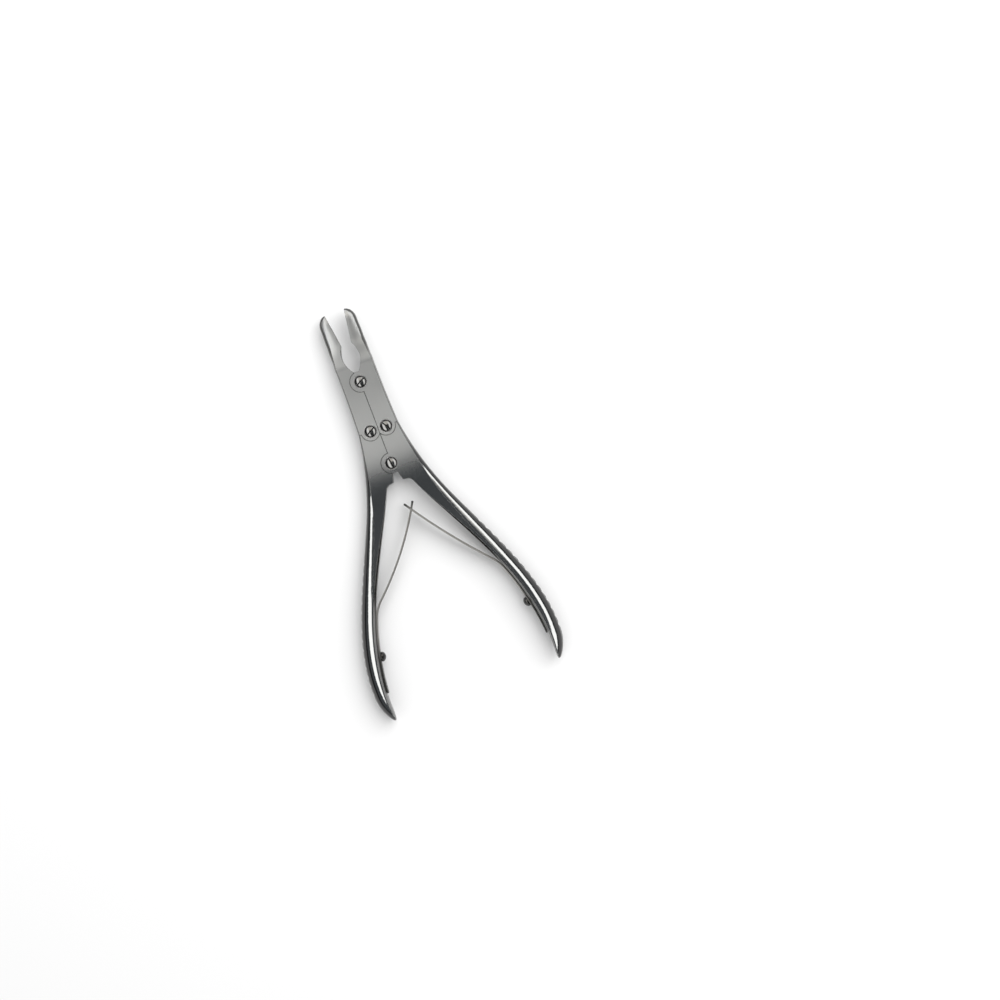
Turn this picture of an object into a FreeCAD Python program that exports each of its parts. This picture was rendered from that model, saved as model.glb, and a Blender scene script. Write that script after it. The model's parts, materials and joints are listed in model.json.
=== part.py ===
import FreeCAD, Part
import Sketcher
import os

# Double-action bone rongeur, held open by its springs. Millimetres, jaws towards +Y, screw heads up.
# Distances called "behind" run backwards from the front pivot, and "back" ones from the middle pivots.

os.makedirs("parts", exist_ok=True)
doc = FreeCAD.newDocument("bone_rongeur")
sheet = doc.addObject("Spreadsheet::Sheet", "Sizes")

DRIVING = [
    # the four pivots
    ("jaw_arm", 23.1), ("rear_arm", 16.9), ("pivot_spread", 3.84),
    ("front_ear", 4.8), ("middle_ear", 4.3), ("rear_ear", 4.7),
    ("plate_thick", 6.4), ("split_gap", 0.16), ("lap_gap", 0.06), ("ear_gap", 0.14),
    # jaws
    ("jaw_reach", 34.3), ("jaw_splay", 7.85), ("jaw_half_width", 9.15), ("tip_half_width", 8.75),
    ("rim_gap", 0.05), ("blade_start", 8.0), ("blade_overlap", 0.5), ("blade_step", 0.01),
    ("blade_half_height", 2.95), ("blade_crown", 1.6), ("blade_slope", 0.5), ("rim_face", 0.9),
    ("nose_length", 5.0), ("nose_fall", 0.93), ("nose_close", 0.995),
    ("cup_radius", 2.25), ("cup_wall", 0.8), ("cup_length", 16.5),
    ("tear_back", 4.9), ("tear_apex", 1.25), ("tear_middle", 11.3), ("tear_half_width", 4.25),
    ("tear_front", 18.3),
    # handles
    ("shoulder_half_width", 9.7), ("shoulder_splay", 8.0), ("neck_splay", 24.8), ("neck_length", 43.0),
    ("plate_back", 27.9), ("bow_back", 53.5), ("widest_back", 113.0), ("handle_back", 128.4),
    ("round_length", 11.5), ("tail_start", 92.0), ("neck_width", 9.95), ("grip_width", 7.05),
    ("tail_width", 6.0), ("grip_height", 11.4), ("rise_length", 54.0), ("bevel_length", 37.0),
    ("edge_crown", 0.4), ("edge_bevel", 0.35), ("grip_crown", 5.4), ("crown_length", 64.0), ("tip_share", 0.25),
    ("notch_half_width", 1.25), ("notch_length", 4.2), ("step_half_width", 4.6),
    ("serration_start", 56.2), ("serration_pitch", 4.1), ("serration_depth", 0.5),
    # pivot screws
    ("head_radius", 2.65), ("head_depth", 1.3), ("head_proud", 0.25), ("head_gap", 0.1),
    ("sink_bevel", 0.35), ("shank_radius", 1.7), ("thread_radius", 1.3), ("shank_gap", 0.05),
    ("thread_gap", 0.01), ("slot_width", 0.75), ("slot_depth", 0.8), ("screw_recess", 0.2),
    # springs and their screws
    ("leaf_thick", 0.9), ("leaf_width", 6.0), ("leaf_tip_width", 4.2), ("leaf_gap", 0.15),
    ("leaf_tail_back", 115.4), ("leaf_bend_back", 76.5), ("leaf_tip_back", 36.4),
    ("left_leaf_cross", 2.4), ("right_leaf_cross", 1.0), ("left_leaf_bow", 2.3), ("right_leaf_bow", 1.1),
    ("leaf_bend_radius", 20.0), ("fork_slot", 1.9), ("neck_tongue", 1.3),
    ("tongue_length", 4.9), ("tongue_head", 0.9), ("spring_screw_back", 98.5),
    ("spring_head_radius", 2.25), ("spring_head_height", 2.3), ("spring_thread_radius", 1.1),
    ("spring_thread_length", 4.0), ("spring_slot_width", 0.6),
]
for row, (alias, value) in enumerate(DRIVING, start=1):
    sheet.set(f"A{row}", str(value))
    sheet.setAlias(f"A{row}", alias)
doc.recompute()

# Places that several pieces share, written in the sheet's names
FRONT_Y = "((Sizes.jaw_arm + Sizes.handle_back - Sizes.jaw_reach) / 2)"
MIDDLE_Y = f"({FRONT_Y} - Sizes.jaw_arm)"
REAR_Y = f"({MIDDLE_Y} - Sizes.rear_arm)"
MID_Z = "(Sizes.grip_height / 2)"
TOP_Z = f"({MID_Z} + Sizes.plate_thick / 2)"
BOTTOM_Z = f"({MID_Z} - Sizes.plate_thick / 2)"
LAYER = "(Sizes.plate_thick / 2 - Sizes.lap_gap / 2)"
UPPER_Z = f"({MID_Z} + Sizes.lap_gap / 2)"
HALF_SPLIT = "(Sizes.split_gap / 2)"
CLEAR = "20"  # deep enough to pass right through the instrument


def number(expression):
    return float(sheet.evalExpression(f"1.0 * ({expression})"))


def mirrored(side, expression):
    return f"{side} * ({expression})"


def origin_plane(body, role):
    return [item for item in body.Origin.OriginFeatures if item.Role == role][0]


def new_body(label):
    body = doc.addObject("PartDesign::Body", "body_" + label)
    body.Label = label
    return body


def outline(body, name, plane, offset, corners):
    """Closed sketch. A corner is (x, y), or (x, y, via_x, via_y) where an arc leads on from it."""
    sketch = body.newObject("Sketcher::SketchObject", name)
    sketch.AttachmentSupport = [(origin_plane(body, plane), "")]
    sketch.MapMode = "FlatFace"
    sketch.setExpression("AttachmentOffset.Base.z", offset)
    spots = [FreeCAD.Vector(number(corner[0]), number(corner[1]), 0) for corner in corners]
    ends = []
    for index, corner in enumerate(corners):
        start = spots[index]
        stop = spots[(index + 1) % len(spots)]
        if len(corner) == 2:
            edge = sketch.addGeometry(Part.LineSegment(start, stop))
            ends.append((edge, 1, 2))
            continue
        via = FreeCAD.Vector(number(corner[2]), number(corner[3]), 0)
        edge = sketch.addGeometry(Part.Arc(start, via, stop))
        forward = sketch.getPoint(edge, 1).distanceToPoint(start) < sketch.getPoint(edge, 2).distanceToPoint(start)
        ends.append((edge, 1, 2) if forward else (edge, 2, 1))
        mark = sketch.addGeometry(Part.Point(via), True)
        pin(sketch, mark, 1, corner[2], corner[3])
        sketch.addConstraint(Sketcher.Constraint("PointOnObject", mark, 1, edge))
    for index, corner in enumerate(corners):
        edge, first, last = ends[index]
        following = ends[(index + 1) % len(ends)]
        sketch.addConstraint(Sketcher.Constraint("Coincident", edge, last, following[0], following[1]))
        pin(sketch, edge, first, corner[0], corner[1])
    return sketch


def pin(sketch, edge, end, across, along):
    """Holds a point of a sketch at expressions for its two coordinates."""
    for kind, expression in (("DistanceX", across), ("DistanceY", along)):
        rule = sketch.addConstraint(Sketcher.Constraint(kind, -1, 1, edge, end, number(expression)))
        sketch.setExpression(f"Constraints[{rule}]", expression)


def pad(body, name, corners, bottom, height):
    sketch = outline(body, name + "_outline", "XY_Plane", bottom, corners)
    feature = body.newObject("PartDesign::Pad", name)
    feature.Profile = sketch
    feature.setExpression("Length", height)
    return feature


def pocket(body, name, corners, top, depth):
    sketch = outline(body, name + "_outline", "XY_Plane", top, corners)
    feature = body.newObject("PartDesign::Pocket", name)
    feature.Profile = sketch
    feature.setExpression("Length", depth)
    return feature


def place(item, across, along, up, yaw="0", pitch="0"):
    item.setExpression("Placement.Base.x", across)
    item.setExpression("Placement.Base.y", along)
    item.setExpression("Placement.Base.z", up)
    item.setExpression("Placement.Rotation.Yaw", yaw)
    item.setExpression("Placement.Rotation.Pitch", pitch)


def disc(body, name, kind, spot, radius, bottom, height, yaw="0", pitch="0"):
    """Round boss or bore: kind is Additive or Subtractive, and spot is its (x, y)."""
    feature = body.newObject(f"PartDesign::{kind}Cylinder", name)
    feature.setExpression("Radius", radius)
    feature.setExpression("Height", height)
    place(feature, spot[0], spot[1], bottom, yaw, pitch)
    return feature


def bevel(body, name, spot, radius, top):
    """Cone that breaks the mouth of a screw seat."""
    feature = body.newObject("PartDesign::SubtractiveCone", name)
    feature.setExpression("Radius1", radius)
    feature.setExpression("Radius2", f"{radius} + 2 * Sizes.sink_bevel")
    feature.setExpression("Height", "2 * Sizes.sink_bevel")
    place(feature, spot[0], spot[1], f"{top} - Sizes.sink_bevel")
    return feature


def loft(body, name, sketches):
    feature = body.newObject("PartDesign::AdditiveLoft", name)
    feature.Profile = sketches[0]
    feature.Sections = sketches[1:]
    feature.Ruled = False
    return feature


def bar_section(body, name, side, along, inner, outer, half, crown, bevel, shoulder="0.02", relief="0.02"):
    """Cross-section of a jaw or handle: flat inner face, shoulder, flat top, bevel, crowned outer face."""
    flat_start = f"{inner} + {shoulder}"
    crown_start = f"{outer} - {crown}"
    low = f"({half} - {relief})"
    corners = [
        (inner, f"-{low}"),
        (inner, low),
        (flat_start, half),
        (f"{crown_start} - {bevel}", half),
        (crown_start, f"({half} - {bevel})", outer, "0"),
        (crown_start, f"-({half} - {bevel})"),
        (f"{crown_start} - {bevel}", f"-{half}"),
        (flat_start, f"-{half}"),
    ]
    return cross_section(body, name, side, along, corners)


def cross_section(body, name, side, along, corners):
    """Sketch across the instrument; heights are measured from the middle of its thickness."""
    placed = [tuple(mirrored(side, value) if spot % 2 == 0 else f"{MID_Z} + {value}"
                    for spot, value in enumerate(corner)) for corner in corners]
    return outline(body, name, "XZ_Plane", f"-({along})", placed)


# Jaws

def rim_x(ahead):
    """The cutting rim lies on a line through the front pivot, so both rims close on the middle."""
    return f"(tan(Sizes.jaw_splay) * ({ahead}) + Sizes.rim_gap)"


def jaw_width(ahead):
    """Outer edge of the blade, which narrows a little from the pivot to the tip."""
    slope = "(Sizes.jaw_half_width - Sizes.tip_half_width) / Sizes.jaw_reach^2"
    return f"(Sizes.jaw_half_width - {slope} * ({ahead})^2)"


def jaw_plate(body, side):
    """Flat rear half of a jaw, from its shoulder to where the blade starts."""
    share = "(Sizes.shoulder_half_width - Sizes.jaw_half_width)"
    sketches = []
    for index, part in enumerate((1.0, 0.75, 0.4, 0.0)):
        along = f"{MIDDLE_Y} + {HALF_SPLIT} + {1 - part} * (Sizes.jaw_arm - {HALF_SPLIT})"
        outer = f"(Sizes.jaw_half_width + {share} * {part}^2)"
        sketches.append(bar_section(body, f"plate_{index}", side, along, HALF_SPLIT, outer,
                                    "Sizes.plate_thick / 2", "Sizes.edge_crown", "Sizes.edge_bevel"))
    along = f"{FRONT_Y} + Sizes.blade_start"
    sketches.append(bar_section(body, "plate_end", side, along, HALF_SPLIT, jaw_width("Sizes.blade_start"),
                                "Sizes.plate_thick / 2", "Sizes.edge_crown", "Sizes.edge_bevel"))
    loft(body, "plate", sketches)


def blade_section(body, name, side, ahead, half, slope, crown, bevel, share):
    """Cross-section of the blade: rim face, back that curves down, bevel and rounded outer side."""
    inner = rim_x(ahead)
    rim_end = f"({inner} + Sizes.rim_face * {share})"
    outer = f"({inner} + ({jaw_width(ahead)} - Sizes.blade_step - {inner}) * {share})"
    crown_start = f"({outer} - {crown})"
    back_end = f"({crown_start} - {bevel})"
    back_middle = f"(({rim_end} + {back_end}) / 2)"
    edge = f"({half} - {slope})"
    corners = [
        (inner, f"-{half}"),
        (inner, half),
        (rim_end, half, back_middle, f"({half} - {slope} / 4)"),
        (back_end, edge),
        (crown_start, f"({edge} - {bevel})", outer, "0"),
        (crown_start, f"-({edge} - {bevel})"),
        (back_end, f"-{edge}", back_middle, f"-({half} - {slope} / 4)"),
        (rim_end, f"-{half}"),
    ]
    return cross_section(body, name, side, f"{FRONT_Y} + {ahead}", corners)


def jaw_blade(body, side):
    """Blade: round back, narrow rim face and a nose that closes in width and height at the tip."""
    root = "(Sizes.blade_start - Sizes.blade_overlap)"
    length = f"(Sizes.jaw_reach - {root})"
    sketches = []
    for index, part in enumerate((0.0, 0.13, 0.26, 0.39, 0.52, 0.65, 0.76, 0.82, 0.87, 0.91, 0.945, 0.97,
                                  0.988, 0.997, 1.0)):
        ahead = f"({root} + {part} * {length})"
        grown = f"min({part} / 0.55; 1)"
        ease = f"({grown}^2 * (3 - 2 * {grown}))"
        nose = f"(max({part} * {length} - {length} + Sizes.nose_length; 0) / Sizes.nose_length)"
        round_off = f"sqrt(1 - (Sizes.nose_fall * {nose})^2)"
        share = f"sqrt(1 - (Sizes.nose_close * {nose})^2)"
        thin = f"(Sizes.plate_thick / 2 - (Sizes.plate_thick / 2 - Sizes.blade_half_height) * {ease})"
        half = f"(({thin} - Sizes.blade_step) * {round_off})"
        crown = f"((Sizes.edge_crown + (Sizes.blade_crown - Sizes.edge_crown) * {ease}) * {share})"
        slope = f"((Sizes.blade_step + Sizes.blade_slope * {ease}) * {round_off})"
        bevel = f"(Sizes.edge_bevel * (1 - 0.9 * {ease}) * {share})"
        sketches.append(blade_section(body, f"blade_{index}", side, ahead, half, slope, crown, bevel, share))
    loft(body, "blade", sketches)


def jaw_teardrop(body, side):
    """Opening between the jaws: it runs from the front pivot's ear to the cutting rims."""
    narrow = f"({rim_x('Sizes.tear_front')} + 0.2)"
    corners = [
        ("0", f"{FRONT_Y} + Sizes.tear_back - 0.4"),
        ("Sizes.tear_apex", f"{FRONT_Y} + Sizes.tear_back",
         "(Sizes.tear_apex + Sizes.tear_half_width) / 2 + 0.55",
         f"{FRONT_Y} + (Sizes.tear_back + Sizes.tear_middle) / 2 + 0.2"),
        ("Sizes.tear_half_width", f"{FRONT_Y} + Sizes.tear_middle",
         f"({narrow} + Sizes.tear_half_width) / 2 + 0.45",
         f"{FRONT_Y} + (Sizes.tear_front + Sizes.tear_middle) / 2"),
        (narrow, f"{FRONT_Y} + Sizes.tear_front"),
        ("0", f"{FRONT_Y} + Sizes.tear_front + 0.6"),
    ]
    corners = [tuple(mirrored(side, value) if spot % 2 == 0 else value for spot, value in enumerate(corner))
               for corner in corners]
    pocket(body, "teardrop", corners, f"{MID_Z} + {CLEAR}", f"2 * {CLEAR}")


def jaw_cup(body, side):
    """Spoon-shaped cup: a round-ended hollow about an axis that lies in the rim face."""
    feature = body.newObject("PartDesign::SubtractiveCylinder", "cup")
    feature.setExpression("Radius", "Sizes.cup_radius")
    feature.setExpression("Height", "Sizes.cup_length")
    start = "(Sizes.jaw_reach - Sizes.cup_wall - Sizes.cup_radius - Sizes.cup_length)"
    place(feature, mirrored(side, rim_x(start)), f"{FRONT_Y} + {start}", MID_Z,
          f"90 - {side} * Sizes.jaw_splay", "90")
    for end, ahead in (("front", f"({start} + Sizes.cup_length * cos(Sizes.jaw_splay))"), ("rear", start)):
        ball = body.newObject("PartDesign::SubtractiveSphere", "cup_" + end)
        ball.setExpression("Radius", "Sizes.cup_radius")
        place(ball, mirrored(side, rim_x(ahead)), f"{FRONT_Y} + {ahead}", MID_Z)


def screw_seat(body, name, spot):
    """Clearance bore, counterbore and broken mouth in an upper ear."""
    disc(body, name + "_bore", "Subtractive", spot, "Sizes.shank_radius + Sizes.shank_gap", MID_Z, CLEAR)
    disc(body, name + "_seat", "Subtractive", spot, "Sizes.head_radius + Sizes.head_gap",
         f"{TOP_Z} - Sizes.head_depth", CLEAR)
    bevel(body, name + "_mouth", spot, "Sizes.head_radius + Sizes.head_gap", TOP_Z)


def thread_hole(body, name, spot):
    disc(body, name + "_thread", "Subtractive", spot, "Sizes.thread_radius + Sizes.thread_gap",
         f"{MID_Z} - {CLEAR}", CLEAR)


def round_ear(body, name, spot, radius, upper):
    """Whole lap ear on one half of the thickness, with the room for the other piece's ear."""
    if upper:
        disc(body, name + "_room", "Subtractive", spot, f"{radius} + Sizes.ear_gap",
             f"{MID_Z} - {CLEAR} + Sizes.lap_gap / 2", CLEAR)
        disc(body, name, "Additive", spot, radius, UPPER_Z, LAYER)
        screw_seat(body, name, spot)
    else:
        disc(body, name + "_room", "Subtractive", spot, f"{radius} + Sizes.ear_gap",
             f"{MID_Z} - Sizes.lap_gap / 2", CLEAR)
        disc(body, name, "Additive", spot, radius, BOTTOM_Z, LAYER)
        thread_hole(body, name, spot)


def split_ear(body, side, upper):
    """Lap ear at a middle pivot, cut off by the centre line that parts left from right."""
    spot = (mirrored(side, "Sizes.pivot_spread"), MIDDLE_Y)
    half_chord = f"sqrt(Sizes.middle_ear^2 - (Sizes.pivot_spread - {HALF_SPLIT})^2)"
    corners = [
        (mirrored(side, HALF_SPLIT), f"{MIDDLE_Y} + {half_chord}",
         mirrored(side, "Sizes.pivot_spread + Sizes.middle_ear"), MIDDLE_Y),
        (mirrored(side, HALF_SPLIT), f"{MIDDLE_Y} - {half_chord}"),
    ]
    if upper:
        disc(body, "middle_room", "Subtractive", spot, "Sizes.middle_ear + Sizes.ear_gap",
             f"{MID_Z} - {CLEAR} + Sizes.lap_gap / 2", CLEAR)
        pad(body, "middle_ear", corners, UPPER_Z, LAYER)
        screw_seat(body, "middle_ear", spot)
    else:
        disc(body, "middle_room", "Subtractive", spot, "Sizes.middle_ear + Sizes.ear_gap",
             f"{MID_Z} - Sizes.lap_gap / 2", CLEAR)
        pad(body, "middle_ear", corners, BOTTOM_Z, LAYER)
        thread_hole(body, "middle_ear", spot)


def jaw(label, side, front_upper):
    body = new_body(label)
    jaw_plate(body, side)
    jaw_blade(body, side)
    jaw_teardrop(body, side)
    jaw_cup(body, side)
    round_ear(body, "front_ear", ("0", FRONT_Y), "Sizes.front_ear", front_upper)
    split_ear(body, side, True)


# Handles

def handle_outer(back):
    """Outer edge: the splay grows along the neck, then the bow curls back in by a cube law."""
    before = "tan(Sizes.shoulder_splay)"
    after = "tan(Sizes.neck_splay)"
    bend = f"(min({back}; Sizes.neck_length)^2 / (2 * Sizes.neck_length) + max({back} - Sizes.neck_length; 0))"
    curl = f"(max({back} - Sizes.bow_back; 0)^3 / (3 * (Sizes.widest_back - Sizes.bow_back)^2))"
    return (f"(Sizes.shoulder_half_width + {before} * ({back}) + ({after} - {before}) * {bend}"
            f" - {after} * {curl})")


def handle_width(back):
    taper = f"(max(Sizes.tail_start - ({back}); 0) / (Sizes.tail_start - Sizes.plate_back))^2"
    tail = f"(max({back} - Sizes.tail_start; 0) / (Sizes.leaf_tail_back - Sizes.tail_start))^2"
    return (f"(Sizes.grip_width + (Sizes.neck_width - Sizes.grip_width) * {taper}"
            f" - (Sizes.grip_width - Sizes.tail_width) * {tail})")


def handle_inner(back):
    return f"({handle_outer(back)} - {handle_width(back)})"


def end_round(back):
    """Share of the full section that is left as the end of the handle rounds off."""
    into = f"(max({back} - Sizes.handle_back + Sizes.round_length; 0) / (Sizes.round_length + 0.15))"
    return f"sqrt(1 - {into}^2)"


def eased(back, length, start="Sizes.plate_back"):
    part = f"min(max({back} - {start}; 0) / {length}; 1)"
    return f"({part}^2 * (3 - 2 * {part}))"


def handle_crown(back):
    """Depth of the rounded outer side, which grows from the shoulder to the grip."""
    return f"(Sizes.edge_crown + (Sizes.grip_crown - Sizes.edge_crown) * {eased(back, 'Sizes.crown_length', '0')})"


def handle_bevel(back):
    """Bevel along the top edge, which fades out where the outer side has become round."""
    return f"(Sizes.edge_bevel * (1 - 0.9 * {eased(back, 'Sizes.neck_length', '0')}) * {end_round(back)})"


def handle_plate(body, side):
    """Flat front of a handle, from its shoulder to where the neck starts to thicken."""
    sketches = []
    for index, part in enumerate((0.0, 0.25, 0.5, 0.75, 1.0)):
        back = f"({HALF_SPLIT} + {part} * (Sizes.plate_back - {HALF_SPLIT}))"
        sketches.append(bar_section(body, f"plate_{index}", side, f"{MIDDLE_Y} - {back}", HALF_SPLIT,
                                    handle_outer(back), "Sizes.plate_thick / 2", handle_crown(back),
                                    handle_bevel(back)))
    loft(body, "plate", sketches)


def handle_bow(body, side):
    """Neck and grip: the flat plate runs out into a half-round bow with a flat inner face."""
    length = "(Sizes.handle_back - Sizes.plate_back)"
    stations = (0.0, 0.08, 0.16, 0.24, 0.32, 0.4, 0.48, 0.56, 0.64, 0.72, 0.8, 0.87, 0.91, 0.94, 0.965,
                0.983, 0.994, 1.0)
    sketches = []
    for index, part in enumerate(stations):
        back = f"(Sizes.plate_back + {part} * {length})"
        blend = eased(back, "Sizes.bevel_length")
        width = f"({handle_width(back)} * {end_round(back)})"
        full = f"max({handle_width(back)}; Sizes.grip_width)"
        rise = f"(Sizes.grip_height - Sizes.plate_thick) / 2 * {eased(back, 'Sizes.rise_length')}"
        half = f"((Sizes.plate_thick / 2 + {rise}) * {end_round(back)})"
        crown = f"({handle_crown(back)} * {end_round(back)} * {handle_width(back)} / ({full}))"
        shoulder = f"({width} * (0.003 + 0.12 * {blend}))"
        relief = f"({half} * (0.006 + 0.36 * {blend}))"
        inner = f"({handle_inner(back)} + {handle_width(back)} * Sizes.tip_share * (1 - {end_round(back)})^2)"
        sketches.append(bar_section(body, f"bow_{index}", side, f"{MIDDLE_Y} - {back}", inner,
                                    f"({inner} + {width})", half, crown, handle_bevel(back), shoulder,
                                    relief))
    loft(body, "bow", sketches)


def handle_crotch(body, side):
    """Notch behind the rear pivot and the shoulder that runs out into the inner face."""
    notch = f"{REAR_Y} - Sizes.rear_ear + 0.05"
    shoulder = f"{notch} - Sizes.notch_length"
    inner = handle_inner("Sizes.plate_back")
    plate_end = f"{MIDDLE_Y} - Sizes.plate_back"
    corners = [
        ("-8", notch),
        ("Sizes.notch_half_width", notch),
        ("Sizes.notch_half_width + 1.15", shoulder),
        ("Sizes.step_half_width", f"{shoulder} - 0.4",
         f"(Sizes.step_half_width + {inner}) / 2 + 0.15", f"({shoulder} - 0.4 + {plate_end}) / 2 + 0.2"),
        (inner, plate_end),
        (inner, f"{plate_end} - 1"),
        ("-8", f"{plate_end} - 1"),
    ]
    corners = [tuple(mirrored(side, value) if spot % 2 == 0 else value for spot, value in enumerate(corner))
               for corner in corners]
    pocket(body, "crotch", corners, f"{MID_Z} + {CLEAR}", f"2 * {CLEAR}")


def serration_count():
    reach = number("Sizes.leaf_tail_back - Sizes.serration_start")
    return int(reach / number("Sizes.serration_pitch")) + 1


def handle_serrations(body, side):
    """Rounded ribs along the crest of the outer face, left by one scalloped cut."""
    def notch(step):
        back = f"(Sizes.serration_start + {step} * Sizes.serration_pitch)"
        return f"{handle_outer(back)} - Sizes.serration_depth", f"{MIDDLE_Y} - {back}"

    def crest(step):
        back = f"(Sizes.serration_start + {step} * Sizes.serration_pitch)"
        return handle_outer(back), f"{MIDDLE_Y} - {back}"

    last = serration_count() - 1
    beyond = handle_outer("Sizes.widest_back") + " + 2"
    before = crest(-0.35)
    after = crest(last + 0.35)
    corners = [(f"{before[0]} + 0.05", before[1])]
    corners += [(*notch(step), *crest(step + 0.5)) for step in range(last)]
    corners += [notch(last), (f"{after[0]} + 0.05", after[1]), (beyond, after[1]), (beyond, before[1])]
    corners = [tuple(mirrored(side, value) if spot % 2 == 0 else value for spot, value in enumerate(corner))
               for corner in corners]
    pocket(body, "serrations", corners, f"{MID_Z} + {CLEAR}", f"2 * {CLEAR}")


# Springs

def inner_lean(back):
    """Slope of the handle's inner face on the grip, as an angle."""
    curl = f"(max({back} - Sizes.bow_back; 0) / (Sizes.widest_back - Sizes.bow_back))^2"
    taper = (f"2 * (Sizes.neck_width - Sizes.grip_width) * max(Sizes.tail_start - {back}; 0)"
             f" / (Sizes.tail_start - Sizes.plate_back)^2")
    tail = (f"2 * (Sizes.grip_width - Sizes.tail_width) * max({back} - Sizes.tail_start; 0)"
            f" / (Sizes.leaf_tail_back - Sizes.tail_start)^2")
    return f"atan(tan(Sizes.neck_splay) * (1 - {curl}) + {taper} + {tail})"


def leaf_seat(back):
    return f"({handle_inner(back)} - Sizes.leaf_gap)"


def leaf_path(tip_across, bow):
    """Outer face of a leaf as (across, back, lean) from its tail to its tip: seat, bend and bowed free arm."""
    bend = "Sizes.leaf_bend_back"
    tip = "Sizes.leaf_tip_back"
    rise = f"({leaf_seat(bend)} - ({tip_across}))"
    chord = f"sqrt({rise}^2 + ({bend} - {tip})^2)"
    chord_lean = f"atan({rise} / ({bend} - {tip}))"
    half_turn = f"(2 * atan(2 * {bow} / {chord}))"
    near = inner_lean(bend)
    far = f"({chord_lean} + {half_turn})"
    middle = f"(({near} + {far}) / 2)"
    reach = f"(Sizes.leaf_bend_radius * tan(({far} - {near}) / 2))"
    inset = f"(Sizes.leaf_bend_radius * (1 / cos(({far} - {near}) / 2) - 1))"
    tail_points = []
    for part in (1.0, 0.75, 0.5, 0.25):
        back = f"({bend} + {reach} + {part} * (Sizes.leaf_tail_back - {bend} - {reach}))"
        tail_points.append((leaf_seat(back), back, inner_lean(back)))
    seat = leaf_seat(bend)
    return tail_points + [
        (f"({seat} + {reach} * sin({near}))", f"({bend} + {reach} * cos({near}))", near),
        (f"({seat} - {inset} * cos({middle}))", f"({bend} + {inset} * sin({middle}))", middle),
        (f"({seat} - {reach} * sin({far}))", f"({bend} - {reach} * cos({far}))", far),
        (f"(({seat} + ({tip_across})) / 2 - {bow} * cos({chord_lean}))",
         f"(({bend} + {tip}) / 2 + {bow} * sin({chord_lean}))", chord_lean),
        (f"({tip_across})", tip, f"({chord_lean} - {half_turn})"),
    ]


def spring_leaf(label, side, tip_across, bow, forked):
    body = new_body(label)
    path = leaf_path(tip_across, bow)
    outer = [(mirrored(side, across), f"{MIDDLE_Y} - {back}") for across, back, lean in path]
    inner = [(mirrored(side, f"{across} - Sizes.leaf_thick * cos({lean})"),
              f"{MIDDLE_Y} - {back} - Sizes.leaf_thick * sin({lean})") for across, back, lean in path]
    corners = [(*outer[spot], *outer[spot + 1]) for spot in (0, 2, 4, 6)]
    corners += [outer[8]]
    corners += [(*inner[spot], *inner[spot - 1]) for spot in (8, 6, 4, 2)]
    corners += [inner[0]]
    pad(body, "leaf", corners, f"{MID_Z} - Sizes.leaf_width / 2", "Sizes.leaf_width")
    leaf_taper(body)
    leaf_end(body, forked)
    lean = inner_lean("Sizes.spring_screw_back")
    disc(body, "screw_hole", "Subtractive",
         (mirrored(side, f"{leaf_seat('Sizes.spring_screw_back')} + 3 * cos({lean})"),
          f"{MIDDLE_Y} - Sizes.spring_screw_back + 3 * sin({lean})"),
         "Sizes.spring_thread_radius + 0.1", MID_Z, "8", mirrored(side, lean), mirrored(side, "-90"))


def side_cut(body, name, corners):
    """Pocket through a leaf from side to side; corners are (along, up)."""
    sketch = outline(body, name, "YZ_Plane", "-45", corners)
    feature = body.newObject("PartDesign::Pocket", name + "_cut")
    feature.Profile = sketch
    feature.Reversed = True
    feature.setExpression("Length", "90")


def leaf_taper(body):
    """The free arm narrows from the bend to the tip."""
    bend = f"{MIDDLE_Y} - Sizes.leaf_bend_back"
    tip = f"{MIDDLE_Y} - Sizes.leaf_tip_back"
    for sign, name in (("1", "taper_top"), ("-1", "taper_bottom")):
        corners = [(bend, f"{MID_Z} + {sign} * Sizes.leaf_width / 2"),
                   (f"{tip} + 1", f"{MID_Z} + {sign} * Sizes.leaf_tip_width / 2"),
                   (f"{tip} + 1", f"{MID_Z} + {sign} * Sizes.leaf_width"),
                   (bend, f"{MID_Z} + {sign} * Sizes.leaf_width")]
        side_cut(body, name, corners)


def leaf_end(body, forked):
    """The right leaf ends in a fork, and the left one in a narrow tongue with a T head."""
    tip = f"{MIDDLE_Y} - Sizes.leaf_tip_back"
    base = f"{tip} - Sizes.tongue_length"
    if forked:
        cuts = [(f"{tip} + 3", "-Sizes.fork_slot / 2", "Sizes.fork_slot / 2", "slot")]
    else:
        head = f"{tip} - Sizes.tongue_head"
        cuts = [(head, "Sizes.neck_tongue / 2", "6", "above"), (head, "-6", "-Sizes.neck_tongue / 2", "below")]
    for front, low, high, name in cuts:
        side_cut(body, f"end_{name}", [(base, f"{MID_Z} + ({low})"), (front, f"{MID_Z} + ({low})"),
                                       (front, f"{MID_Z} + ({high})"), (base, f"{MID_Z} + ({high})")])


# Screws

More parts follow.
